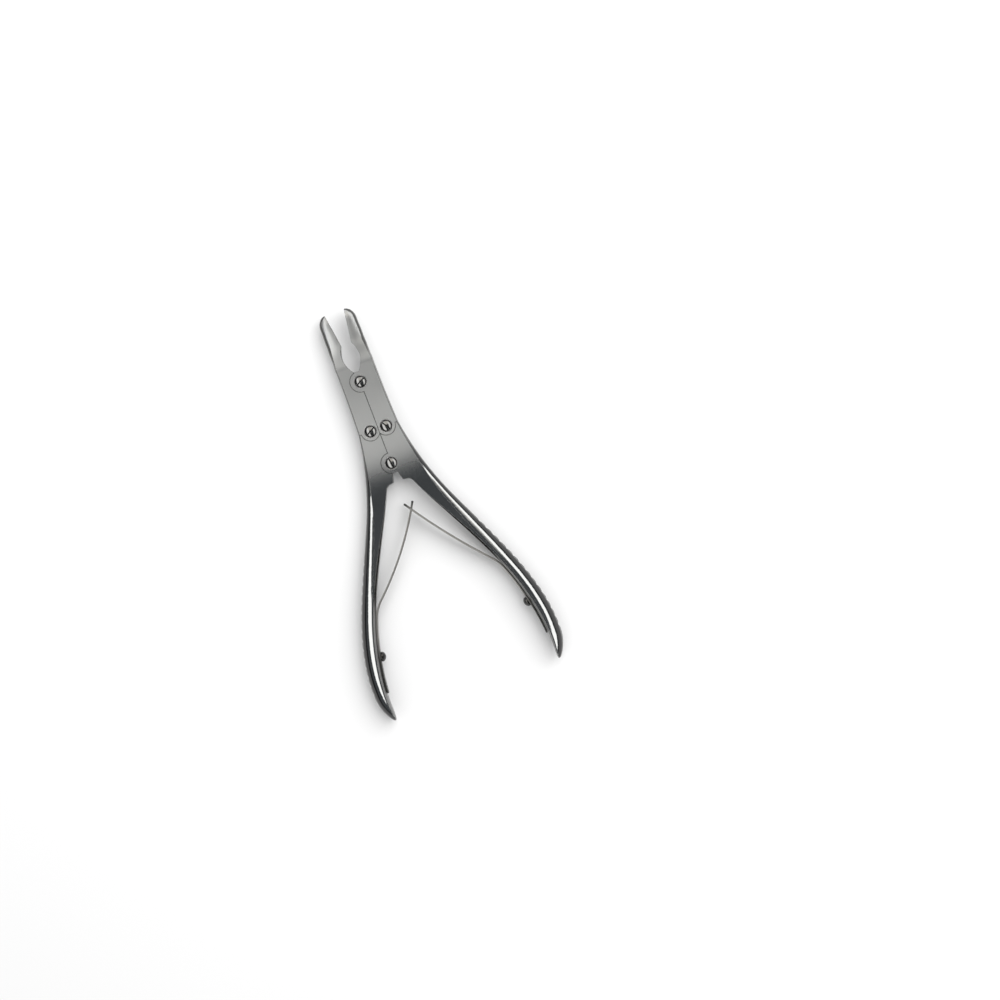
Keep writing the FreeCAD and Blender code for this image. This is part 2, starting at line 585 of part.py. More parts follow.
def screw(label, spot, up, reach, shank, thread, collar, radius, height, dome, slot_width, slot_depth,
          yaw, pitch="0"):
    """Slotted screw about its own axis; its head sits on local zero and the thread points down."""
    body = new_body(label)
    corners = [
        ("0", f"-({reach})"),
        (thread, f"-({reach})"),
        (thread, f"-({collar})"),
        (shank, f"-({collar})"),
        (shank, "0"),
        (radius, "0"),
        (radius, height, f"{radius} * 0.7", f"{height} + {dome} * 0.55"),
        ("0", f"{height} + {dome}"),
    ]
    sketch = outline(body, label + "_profile", "XZ_Plane", "0", corners)
    turned = body.newObject("PartDesign::Revolution", label + "_turned")
    turned.Profile = sketch
    turned.ReferenceAxis = (sketch, ["V_Axis"])
    turned.Angle = 360
    half = f"{slot_width} / 2"
    ends = f"{radius} + 1"
    pocket(body, label + "_slot", [(f"-({ends})", f"-({half})"), (ends, f"-({half})"), (ends, half),
                                   (f"-({ends})", half)], f"{height} + {dome} + 1", f"{slot_depth} + 1")
    place(body, spot[0], spot[1], up, yaw, pitch)


def pivot_screw(label, spot, turn):
    floor = f"({TOP_Z} - Sizes.head_depth + Sizes.lap_gap)"
    screw(label, spot, floor, f"{floor} - {BOTTOM_Z} - Sizes.screw_recess", "Sizes.shank_radius",
          "Sizes.thread_radius", f"{floor} - {MID_Z}", "Sizes.head_radius",
          "Sizes.head_depth - Sizes.lap_gap", "Sizes.head_proud", "Sizes.slot_width", "Sizes.slot_depth", turn)


def spring_screw(label, side):
    lean = inner_lean("Sizes.spring_screw_back")
    seat = leaf_seat("Sizes.spring_screw_back")
    out = "(Sizes.leaf_thick + 0.05)"
    screw(label, (mirrored(side, f"{seat} - {out} * cos({lean})"),
                  f"{MIDDLE_Y} - Sizes.spring_screw_back - {out} * sin({lean})"), MID_Z,
          "Sizes.spring_thread_length + Sizes.leaf_thick", "Sizes.spring_thread_radius",
          "Sizes.spring_thread_radius - 0.02", "Sizes.leaf_thick", "Sizes.spring_head_radius",
          "Sizes.spring_head_height * 0.55", "Sizes.spring_head_height * 0.45", "Sizes.spring_slot_width",
          "Sizes.spring_head_height * 0.45", mirrored(side, lean), mirrored(side, "-90"))


def handle(label, side, rear_upper):
    body = new_body(label)
    handle_plate(body, side)
    handle_bow(body, side)
    handle_crotch(body, side)
    round_ear(body, "rear_ear", ("0", REAR_Y), "Sizes.rear_ear", rear_upper)
    split_ear(body, side, False)
    handle_serrations(body, side)
    lean = inner_lean("Sizes.spring_screw_back")
    seat = leaf_seat("Sizes.spring_screw_back")
    depth = "(Sizes.spring_thread_length + 0.3)"
    disc(body, "spring_thread", "Subtractive",
         (mirrored(side, f"{seat} + {depth} * cos({lean})"),
          f"{MIDDLE_Y} - Sizes.spring_screw_back + {depth} * sin({lean})"),
         "Sizes.spring_thread_radius + 0.01", MID_Z, f"{depth} + 1", mirrored(side, lean), mirrored(side, "-90"))


jaw("left_jaw", "-1", False)
jaw("right_jaw", "1", True)
handle("left_handle", "-1", False)
handle("right_handle", "1", True)
spring_leaf("left_spring_leaf", "-1", "-Sizes.left_leaf_cross", "Sizes.left_leaf_bow", False)
spring_leaf("right_spring_leaf", "1", "-Sizes.right_leaf_cross", "Sizes.right_leaf_bow", True)
pivot_screw("front_pivot_screw", ("0", FRONT_Y), "28")
pivot_screw("left_link_screw", ("-Sizes.pivot_spread", MIDDLE_Y), "30")
pivot_screw("right_link_screw", ("Sizes.pivot_spread", MIDDLE_Y), "-60")
pivot_screw("rear_pivot_screw", ("0", REAR_Y), "-79")
spring_screw("left_spring_screw", "-1")
spring_screw("right_spring_screw", "1")
doc.recompute()

pieces = [item for item in doc.Objects if item.TypeId == "PartDesign::Body"]
for item in doc.Objects:
    if "Invalid" in item.State or "Error" in item.State:
        raise RuntimeError(f"{item.Label} failed: {item.State}")
for piece in pieces:
    if piece.Shape.isNull() or not piece.Shape.isValid():
        raise RuntimeError(f"{piece.Label} has no sound shape")
    if len(piece.Shape.Solids) != 1:
        raise RuntimeError(f"{piece.Label} is {len(piece.Shape.Solids)} solids")
for piece in pieces:
    piece.Shape.exportStep(f"parts/{piece.Label}.step")
    print(f"{piece.Label}: {piece.Shape.Volume:.1f} cubic mm, {piece.Shape.BoundBox}")
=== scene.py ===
import json
import math
import bpy
from mathutils import Matrix, Vector


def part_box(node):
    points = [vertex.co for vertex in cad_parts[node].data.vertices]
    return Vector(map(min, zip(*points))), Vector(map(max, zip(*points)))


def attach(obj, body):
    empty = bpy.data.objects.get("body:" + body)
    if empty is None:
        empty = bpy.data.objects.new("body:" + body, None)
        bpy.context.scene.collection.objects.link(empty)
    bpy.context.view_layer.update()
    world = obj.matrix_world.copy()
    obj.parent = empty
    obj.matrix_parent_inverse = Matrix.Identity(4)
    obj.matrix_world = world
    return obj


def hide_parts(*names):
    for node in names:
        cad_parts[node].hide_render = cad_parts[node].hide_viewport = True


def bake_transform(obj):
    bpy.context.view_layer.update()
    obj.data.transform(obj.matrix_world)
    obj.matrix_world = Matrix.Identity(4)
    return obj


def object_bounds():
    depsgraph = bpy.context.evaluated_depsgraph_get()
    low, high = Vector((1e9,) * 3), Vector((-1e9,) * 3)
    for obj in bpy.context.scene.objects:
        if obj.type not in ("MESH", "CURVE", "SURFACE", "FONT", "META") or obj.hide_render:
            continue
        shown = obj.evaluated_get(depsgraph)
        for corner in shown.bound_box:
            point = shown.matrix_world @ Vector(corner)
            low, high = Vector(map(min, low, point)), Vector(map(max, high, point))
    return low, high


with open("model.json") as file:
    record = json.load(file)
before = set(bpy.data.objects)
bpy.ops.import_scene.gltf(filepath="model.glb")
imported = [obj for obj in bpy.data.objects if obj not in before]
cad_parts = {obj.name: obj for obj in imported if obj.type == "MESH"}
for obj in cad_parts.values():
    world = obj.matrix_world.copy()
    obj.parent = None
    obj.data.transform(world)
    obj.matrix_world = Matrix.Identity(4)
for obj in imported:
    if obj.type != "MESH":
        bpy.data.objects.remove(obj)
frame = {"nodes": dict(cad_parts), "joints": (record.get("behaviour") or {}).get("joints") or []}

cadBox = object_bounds()
mm = 0.001

# the hinge's place gives the mid height of the plates, where the ears lap
joints = {joint["name"]: joint for joint in frame["joints"]}
midZ = Vector(joints["handle_hinge"]["pos_m"]).z


def boxCentre(node):
    low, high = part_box(node)
    return (Vector(low) + Vector(high)) / 2


frontPivot = boxCentre("front_pivot_screw")
# each pivot screw with the body that it rides on
pivotScrews = {
    "front_pivot_screw": "left_jaw", "left_link_screw": "left_handle",
    "right_link_screw": "right_handle", "rear_pivot_screw": "left_handle",
}


# camera straight above, turned so that the jaws point up and to the left as in the photograph
cameraView = {
    "turn": math.radians(20.87),      # axis of the instrument against the picture's upright
    "framed": 0.460,                  # metres across the picture at the plane of the box
    "distance": 0.95,
    "planeZ": 0.0085,
    "frontRight": -139.7,             # front pivot from the picture's centre, in photograph pixels
    "frontUp": 118.3,
    "pixels": 1000,
    "sensor": 36,                     # in mm
    "clipStart": 0.01,
}


def makeCamera(view):
    data = bpy.data.cameras.new("camera")
    data.sensor_width = view["sensor"]
    data.sensor_height = view["sensor"]
    data.lens = data.sensor_width * view["distance"] / view["framed"]
    data.clip_start = view["clipStart"]
    camera = bpy.data.objects.new("camera", data)
    bpy.context.collection.objects.link(camera)
    right = Vector((math.cos(-view["turn"]), math.sin(-view["turn"]), 0))
    up = Vector((-right.y, right.x, 0))
    scale = view["framed"] / view["pixels"]
    centre = frontPivot - right * view["frontRight"] * scale - up * view["frontUp"] * scale
    camera.location = (centre.x, centre.y, view["planeZ"] + view["distance"])
    camera.rotation_euler = (0, 0, -view["turn"])
    bpy.context.scene.camera = camera


makeCamera(cameraView)


# helpers for node trees

def feed(links, socket, value):
    if isinstance(value, bpy.types.NodeSocket):
        links.new(value, socket)
    elif value is not None:
        socket.default_value = value


def mathNode(nodes, links, operation, first, second=None, third=None, clamp=False):
    node = nodes.new("ShaderNodeMath")
    node.operation = operation
    node.use_clamp = clamp
    for socket, value in zip(node.inputs, (first, second, third)):
        feed(links, socket, value)
    return node.outputs[0]


def rangeNode(nodes, links, value, low, high, toLow=0.0, toHigh=1.0, smooth=False):
    node = nodes.new("ShaderNodeMapRange")
    node.interpolation_type = "SMOOTHSTEP" if smooth else "LINEAR"
    for name, given in (("Value", value), ("From Min", low), ("From Max", high), ("To Min", toLow),
                        ("To Max", toHigh)):
        feed(links, node.inputs[name], given)
    return node.outputs["Result"]


def mixColour(nodes, links, factor, first, second):
    node = nodes.new("ShaderNodeMix")
    node.data_type = "RGBA"
    feed(links, node.inputs[0], factor)
    feed(links, node.inputs[6], first)
    feed(links, node.inputs[7], second)
    return node.outputs[2]


def newTree(name, kind, inputs, outputs):
    tree = bpy.data.node_groups.new(name, kind)
    for label, socketKind, value in inputs:
        socket = tree.interface.new_socket(label, in_out="INPUT", socket_type=socketKind)
        if value is not None:
            socket.default_value = value
    for label, socketKind in outputs:
        tree.interface.new_socket(label, in_out="OUTPUT", socket_type=socketKind)
    start = tree.nodes.new("NodeGroupInput")
    end = tree.nodes.new("NodeGroupOutput")
    return tree, tree.nodes, tree.links, start, end


def placeGroup(nodes, tree, values):
    node = nodes.new("ShaderNodeGroup")
    node.node_tree = tree
    for label, value in values.items():
        node.inputs[label].default_value = value
    return node


# effects that several steels share; a pair says where a mask starts and where it is full
grainMarks = {
    "lineDetail": 2.0,
    "cloudDetail": 3.0,
    "scratchEdge": (0.0, 0.012),      # a scratch is the border of a cell, and ends this far from it
    "scratchCloud": (0.56, 0.64),     # scratches show only where the cloud is above this
}
edgeTurns = {                         # cosine between the bevelled normal and the true one
    "Line": (0.995, 0.95),
    "Arris": (0.93, 0.86),
}
recessLight = (0.75, 0.35)            # share of open sky that a point in a seam sees
uprightTilt = (0.5, 0.35)             # height of the normal where a face counts as standing
ringEdge = 0.05 * mm                  # half the width over which a seat's ring fades out
edgeSamples = 6
recessSamples = 8


def makeGrain():
    # fine lines of the finishing belt, cloudiness over them, and a few short scratches
    tree, nodes, links, start, end = newTree(
        "steelGrain", "ShaderNodeTree",
        [("Across", "NodeSocketFloat", 9000.0), ("Along", "NodeSocketFloat", 500.0),
         ("Cloud Size", "NodeSocketFloat", 90.0), ("Scratch Size", "NodeSocketFloat", 220.0)],
        [("Lines", "NodeSocketFloat"), ("Cloud", "NodeSocketFloat"), ("Scratch", "NodeSocketFloat")])
    place = nodes.new("ShaderNodeTexCoord")
    scale = nodes.new("ShaderNodeCombineXYZ")
    links.new(start.outputs["Across"], scale.inputs["X"])
    links.new(start.outputs["Along"], scale.inputs["Y"])
    links.new(start.outputs["Across"], scale.inputs["Z"])
    stretch = nodes.new("ShaderNodeVectorMath")
    stretch.operation = "MULTIPLY"
    links.new(place.outputs["Object"], stretch.inputs[0])
    links.new(scale.outputs["Vector"], stretch.inputs[1])
    lines = nodes.new("ShaderNodeTexNoise")
    lines.inputs["Scale"].default_value = 1.0
    lines.inputs["Detail"].default_value = grainMarks["lineDetail"]
    links.new(stretch.outputs["Vector"], lines.inputs["Vector"])
    cloud = nodes.new("ShaderNodeTexNoise")
    cloud.inputs["Detail"].default_value = grainMarks["cloudDetail"]
    links.new(place.outputs["Object"], cloud.inputs["Vector"])
    links.new(start.outputs["Cloud Size"], cloud.inputs["Scale"])
    # scratches: thin cell borders, kept only where the cloud is high
    cells = nodes.new("ShaderNodeTexVoronoi")
    cells.feature = "DISTANCE_TO_EDGE"
    links.new(place.outputs["Object"], cells.inputs["Vector"])
    links.new(start.outputs["Scratch Size"], cells.inputs["Scale"])
    thin = rangeNode(nodes, links, cells.outputs["Distance"], *grainMarks["scratchEdge"], 1.0, 0.0)
    here = rangeNode(nodes, links, cloud.outputs["Fac"], *grainMarks["scratchCloud"], smooth=True)
    links.new(lines.outputs["Fac"], end.inputs["Lines"])
    links.new(cloud.outputs["Fac"], end.inputs["Cloud"])
    links.new(mathNode(nodes, links, "MULTIPLY", thin, here), end.inputs["Scratch"])
    return tree


def makeEdge():
    # where two faces meet the bevelled normal leaves the true one: a little beside the arris (Line),
    # more at the arris itself
    tree, nodes, links, start, end = newTree(
        "arris", "ShaderNodeTree", [("Radius", "NodeSocketFloat", 0.0003)],
        [("Line", "NodeSocketFloat"), ("Arris", "NodeSocketFloat")])
    soft = nodes.new("ShaderNodeBevel")
    soft.samples = edgeSamples
    links.new(start.outputs["Radius"], soft.inputs["Radius"])
    plain = nodes.new("ShaderNodeNewGeometry")
    turn = nodes.new("ShaderNodeVectorMath")
    turn.operation = "DOT_PRODUCT"
    links.new(soft.outputs["Normal"], turn.inputs[0])
    links.new(plain.outputs["Normal"], turn.inputs[1])
    for label, turns in edgeTurns.items():
        mask = rangeNode(nodes, links, turn.outputs["Value"], *turns, smooth=True)
        links.new(mask, end.inputs[label])
    return tree


def makeSeamShade():
    # painted shade: darker where little open sky is seen, in seams, lap lines and round the screw seats
    tree, nodes, links, start, end = newTree(
        "paintedShade", "ShaderNodeTree", [("Reach", "NodeSocketFloat", 0.0006)],
        [("Depth", "NodeSocketFloat")])
    near = nodes.new("ShaderNodeAmbientOcclusion")
    near.samples = recessSamples
    near.only_local = False
    links.new(start.outputs["Reach"], near.inputs["Distance"])
    depth = rangeNode(nodes, links, near.outputs["AO"], *recessLight, smooth=True)
    links.new(depth, end.inputs["Depth"])
    return tree


def makeFlank():
    # Shoulder is 1 where a face turns down at an edge, Upright where it stands on end; the steels lay
    # painted shade on these faces, a darker colour that draws a dark outline along the sides
    tree, nodes, links, start, end = newTree(
        "flankShade", "ShaderNodeTree",
        [("Starts", "NodeSocketFloat", 0.86), ("Full", "NodeSocketFloat", 0.78)],
        [("Shoulder", "NodeSocketFloat"), ("Upright", "NodeSocketFloat")])
    place = nodes.new("ShaderNodeTexCoord")
    parts = nodes.new("ShaderNodeSeparateXYZ")
    links.new(place.outputs["Normal"], parts.inputs["Vector"])
    level = mathNode(nodes, links, "ABSOLUTE", parts.outputs["Z"])
    shoulderShade = rangeNode(nodes, links, level, start.outputs["Starts"], start.outputs["Full"],
                         smooth=True)
    links.new(shoulderShade, end.inputs["Shoulder"])
    links.new(rangeNode(nodes, links, level, *uprightTilt, smooth=True), end.inputs["Upright"])
    return tree


def makeSeatGlint():
    # painted highlight: a light ring round the screw heads, where a countersink would catch the light;
    # Ring is 1 within the radius of a pivot
    tree, nodes, links, start, end = newTree(
        "screwSeats", "ShaderNodeTree", [("Radius", "NodeSocketFloat", 0.003)],
        [("Ring", "NodeSocketFloat")])
    place = nodes.new("ShaderNodeTexCoord")
    flat = nodes.new("ShaderNodeVectorMath")
    flat.operation = "MULTIPLY"
    flat.inputs[1].default_value = (1, 1, 0)
    links.new(place.outputs["Object"], flat.inputs[0])
    nearest = 1.0                     # metres, so every pivot is nearer
    for node in pivotScrews:
        centre = boxCentre(node)
        reach = nodes.new("ShaderNodeVectorMath")
        reach.operation = "DISTANCE"
        links.new(flat.outputs["Vector"], reach.inputs[0])
        reach.inputs[1].default_value = (centre.x, centre.y, 0)
        nearest = mathNode(nodes, links, "MINIMUM", reach.outputs["Value"], nearest)
    over = mathNode(nodes, links, "SUBTRACT", nearest, start.outputs["Radius"])
    links.new(rangeNode(nodes, links, over, -ringEdge, ringEdge, 1.0, 0.0), end.inputs["Ring"])
    return tree


grainTree = makeGrain()
edgeTree = makeEdge()
seamShadeTree = makeSeamShade()
flankTree = makeFlank()
seatGlintTree = makeSeatGlint()


# steels

def newMaterial(name):
    material = bpy.data.materials.new(name)
    material.use_nodes = True
    nodes = material.node_tree.nodes
    nodes.clear()
    output = nodes.new("ShaderNodeOutputMaterial")
    shader = nodes.new("ShaderNodeBsdfPrincipled")
    material.node_tree.links.new(shader.outputs["BSDF"], output.inputs["Surface"])
    return material, nodes, material.node_tree.links, shader


def makeSteel(name, look):
    # the roughness goes from rough at nearY to farRough at farY, both in mm along the instrument
    material, nodes, links, shader = newMaterial(name)
    shader.inputs["Metallic"].default_value = 1.0
    grain = placeGroup(nodes, grainTree, {"Across": look["across"], "Along": look["along"],
                                          "Cloud Size": look["cloudSize"],
                                          "Scratch Size": look["scratchSize"]})
    edge = placeGroup(nodes, edgeTree, {"Radius": look["edgeRadius"]})
    paintedShade = placeGroup(nodes, seamShadeTree, {"Reach": look["recessReach"]})
    flankShade = placeGroup(nodes, flankTree, {"Starts": look["flankStarts"], "Full": look["flankFull"]})
    place = nodes.new("ShaderNodeTexCoord")
    parts = nodes.new("ShaderNodeSeparateXYZ")
    links.new(place.outputs["Object"], parts.inputs["Vector"])
    along = parts.outputs["Y"]

    def share(mask, amount):
        return mathNode(nodes, links, "MULTIPLY", mask, look[amount])

    # masks and the colours that they lay over the steel, from the lowest up
    layers = [
        # painted shade: darker colours on faces that turn down at an edge and on standing faces
        (flankShade.outputs["Shoulder"], "shoulderShade"),
        (flankShade.outputs["Upright"], "flankShade"),
        # painted highlight: a lighter colour just beside each arris
        (share(edge.outputs["Line"], "edgeGlintLift"), "edge"),
        # painted shade: a darker colour at the arris itself
        (share(edge.outputs["Arris"], "arrisShadeLoss"), "paintedShade"),
        # painted shade in seams, lap lines and corners, from the ambient occlusion mask
        (share(paintedShade.outputs["Depth"], "seamShadeLoss"), "paintedShade"),
    ]
    # painted highlight: a light ring round the screw seats
    if look["seatGlintLift"] > 0:
        seats = placeGroup(nodes, seatGlintTree, {"Radius": look["seatRadius"]})
        layers.append((share(seats.outputs["Ring"], "seatGlintLift"), "seat"))
    # painted shade: the leaf goes darker towards its tail and its tip
    if "ends" in look:
        tipFull = look["tipY"] + look["tipFade"]
        tailFull = look["tailY"] - look["tailFade"]
        tip = rangeNode(nodes, links, along, look["tipY"] * mm, tipFull * mm)
        tail = rangeNode(nodes, links, along, look["tailY"] * mm, tailFull * mm)
        layers.append((mathNode(nodes, links, "MAXIMUM", tip, tail), "ends"))
    colour = mixColour(nodes, links, grain.outputs["Cloud"], (*look["dark"], 1), (*look["light"], 1))
    for mask, layer in layers:
        colour = mixColour(nodes, links, mask, colour, (*look[layer], 1))
    links.new(colour, shader.inputs["Base Color"])

    rough = rangeNode(nodes, links, along, look["farY"] * mm, look["nearY"] * mm,
                      look["farRough"], look["rough"], smooth=True)
    spread = rangeNode(nodes, links, grain.outputs["Lines"], *look["lineRange"],
                       -look["roughSpread"], look["roughSpread"])
    rough = mathNode(nodes, links, "ADD", spread, rough)
    rough = mathNode(nodes, links, "MAXIMUM", rough, share(flankShade.outputs["Upright"], "flankRough"))
    rough = mathNode(nodes, links, "MAXIMUM", rough, share(edge.outputs["Line"], "edgeRough"))
    smear = share(grain.outputs["Scratch"], "scratchRough")
    rough = mathNode(nodes, links, "ADD", rough, smear, clamp=True)
    links.new(rough, shader.inputs["Roughness"])

    height = mathNode(nodes, links, "MULTIPLY_ADD", grain.outputs["Scratch"], -look["scratchDeep"],
                      grain.outputs["Lines"])
    bump = nodes.new("ShaderNodeBump")
    bump.inputs["Strength"].default_value = look["bump"]
    bump.inputs["Distance"].default_value = look["bumpDeep"]
    links.new(height, bump.inputs["Height"])
    links.new(bump.outputs["Normal"], shader.inputs["Normal"])
    return material


# looks of the steels: the jaws' one in full, the others by what differs
jawLook = {
    "dark": (0.63, 0.64, 0.635),
    "light": (0.70, 0.71, 0.705),
    # painted shade on turned-down faces (shoulder) and standing faces (flank)
    "shoulderShade": (0.12, 0.12, 0.115),
    "flankShade": (0.25, 0.25, 0.245),
    # painted highlight along the arrises
    "edge": (0.9, 0.9, 0.89),
    # painted shade at the arrises and in seams
    "paintedShade": (0.04, 0.04, 0.04),
    # painted highlight round the screw seats
    "seat": (0.95, 0.95, 0.94),
    "rough": 0.47, "nearY": 38.0, "farY": 58.0, "farRough": 0.38,
    "roughSpread": 0.012, "lineRange": (0.3, 0.7),
    "flankStarts": 0.86, "flankFull": 0.78, "flankRough": 0.3,
    "edgeRadius": 0.0005, "edgeGlintLift": 0.8, "arrisShadeLoss": 0.85, "edgeRough": 0.3,
    "recessReach": 0.0006, "seamShadeLoss": 0.9,
    "seatRadius": 0.00315, "seatGlintLift": 0.95,
    "across": 9000.0, "along": 500.0, "cloudSize": 60.0,
    "scratchSize": 260.0, "scratchRough": 0.06, "scratchDeep": 1.5,
    "bump": 0.04, "bumpDeep": 0.00001,
}
handleLook = dict(
    jawLook,
    shoulderShade=(0.07, 0.07, 0.07),
    flankShade=(0.2, 0.2, 0.195),
    nearY=30.0, farY=3.0, farRough=0.09, roughSpread=0.01, flankRough=0.32, scratchRough=0.015,
    edgeGlintLift=0.5,
)
leafLook = dict(
    jawLook,
    dark=(0.38, 0.37, 0.35),
    light=(0.48, 0.47, 0.45),
    shoulderShade=(0.03, 0.03, 0.03),
    flankShade=(0.36, 0.355, 0.34),
    ends=(0.1, 0.1, 0.095),           # painted shade on the tail, where it lies against the handle, and the tip darker too, beyond tipY and tailY
    tipY=-5.0, tipFade=3.0, tailY=-54.0, tailFade=12.0,
    rough=0.36, farRough=0.36, seatGlintLift=0.0, edgeGlintLift=0.0, edgeRadius=0.0002,
)
screwLook = dict(
    jawLook,
    dark=(0.34, 0.34, 0.335),
    light=(0.48, 0.48, 0.47),
    shoulderShade=(0.04, 0.04, 0.04),
    flankShade=(0.2, 0.2, 0.195),
    flankStarts=0.92, flankFull=0.84, flankRough=0.2,
    rough=0.1, farRough=0.1, roughSpread=0.02,
    edgeRadius=0.00015, edgeGlintLift=0.9, arrisShadeLoss=0.0, seatGlintLift=0.0,
    across=4000.0, along=4000.0, cloudSize=400.0,
)
springScrewLook = dict(
    screwLook,
    dark=(0.08, 0.078, 0.075),
    light=(0.13, 0.127, 0.12),
    shoulderShade=(0.07, 0.07, 0.07),
    flankShade=(0.05, 0.05, 0.05),
    edge=(0.4, 0.4, 0.4),
    edgeGlintLift=0.5, rough=0.16, farRough=0.16,
)
# painted shade: a near-black colour for the faces inside the slot
slotShadeLook = dict(
    screwLook,
    dark=(0.03, 0.03, 0.03),
    light=(0.05, 0.05, 0.05),
    flankShade=(0.03, 0.03, 0.03),
    edge=(0.3, 0.3, 0.3),
    rough=0.4, farRough=0.4, flankRough=0.4,
)

jawSteel = makeSteel("jawSteel", jawLook)
handleSteel = makeSteel("handleSteel", handleLook)
leafSteel = makeSteel("leafSteel", leafLook)
screwSteel = makeSteel("screwSteel", screwLook)
springScrewSteel = makeSteel("springScrewSteel", springScrewLook)
slotShadeSteel = makeSteel("slotShadeSteel", slotShadeLook)


def dress(node, material):
    mesh = frame["nodes"][node].data
    mesh.materials.clear()
    mesh.materials.append(material)


for node in ("left_jaw", "right_jaw"):
    dress(node, jawSteel)
for node in ("left_handle", "right_handle"):
    dress(node, handleSteel)
print("steel finishes placed")


# pieces made by geometry nodes
edgeFinish = {
    "segments": 2,
    "bevelAngle": 35,                 # degrees
    "sharpAngle": 40,
}


def linkObject(name, data):
    item = bpy.data.objects.new(name, data)
    bpy.context.collection.objects.link(item)
    return item


def lineObject(name, points, spline="POLY"):
    curve = bpy.data.curves.new(name, "CURVE")
    curve.dimensions = "3D"
    run = curve.splines.new(spline)
    run.points.add(len(points) - 1)
    for spot, point in zip(run.points, points):
        spot.co = (*point, 1)
    if spline == "NURBS":
        run.order_u = 4
        run.use_endpoint_u = True
    return linkObject(name, curve)


def growMesh(item, tree, values, name):
    # runs the tree on the item and keeps the result as a plain mesh of its own
    modifier = item.modifiers.new("tree", "NODES")
    modifier.node_group = tree
    for entry in tree.interface.items_tree:
        if entry.in_out == "INPUT" and entry.name in values:
            modifier[entry.identifier] = values[entry.name]
    return plainMesh(item, name)


def plainMesh(item, name):
    view = bpy.context.evaluated_depsgraph_get()
    view.update()
    mesh = bpy.data.meshes.new_from_object(item.evaluated_get(view), depsgraph=view)
    mesh.name = name
    old = item.data
    bpy.data.objects.remove(item)
    if isinstance(old, bpy.types.Curve):
        bpy.data.curves.remove(old)
    return linkObject(name, mesh)


def finishEdges(item, width, name):
    # small rounded arrises, smooth faces
    bevel = item.modifiers.new("arrises", "BEVEL")
    bevel.width = width
    bevel.segments = edgeFinish["segments"]
    bevel.limit_method = "ANGLE"
    bevel.angle_limit = math.radians(edgeFinish["bevelAngle"])
    done = plainMesh(item, name)
    done.data.shade_smooth()
    done.data.set_sharp_from_angle(angle=math.radians(edgeFinish["sharpAngle"]))
    return done


# spring leaves: a strip follows the outer face of the CAD leaf, tip first
leafStrip = {
    "Step": 0.25 * mm,
    "Tip Half Width": 2.1 * mm,
    "Full Half Width": 3.0 * mm,
    "Taper Length": 50.0 * mm,
    "End Length": 5.5 * mm,          # how far the fork or the neck of the T reaches in from the tip
    "Head Length": 1.0 * mm,
    "Tail Round": 1.6 * mm,
    "Mid Height": midZ,
}
leafSizes = {
    "thick": 0.9 * mm,
    "arris": 0.2 * mm,
    "leavesY": -43.0 * mm,           # where the free arm leaves the handle
    "forkHalf": 0.95 * mm,
    "neckHalf": 0.65 * mm,
    "lineStep": 0.2 * mm,            # one point of the CAD leaf is kept in each such length
    "levelLimit": 0.2,               # the normal of its outer face rises less than this
    "outward": 0.4,                  # and looks outwards more than this
}
sectionHalf = 3 * mm                 # half width of the swept section before its real heights are set
stripShare = 0.9                     # of the split's half width: nearer the middle is the middle strip


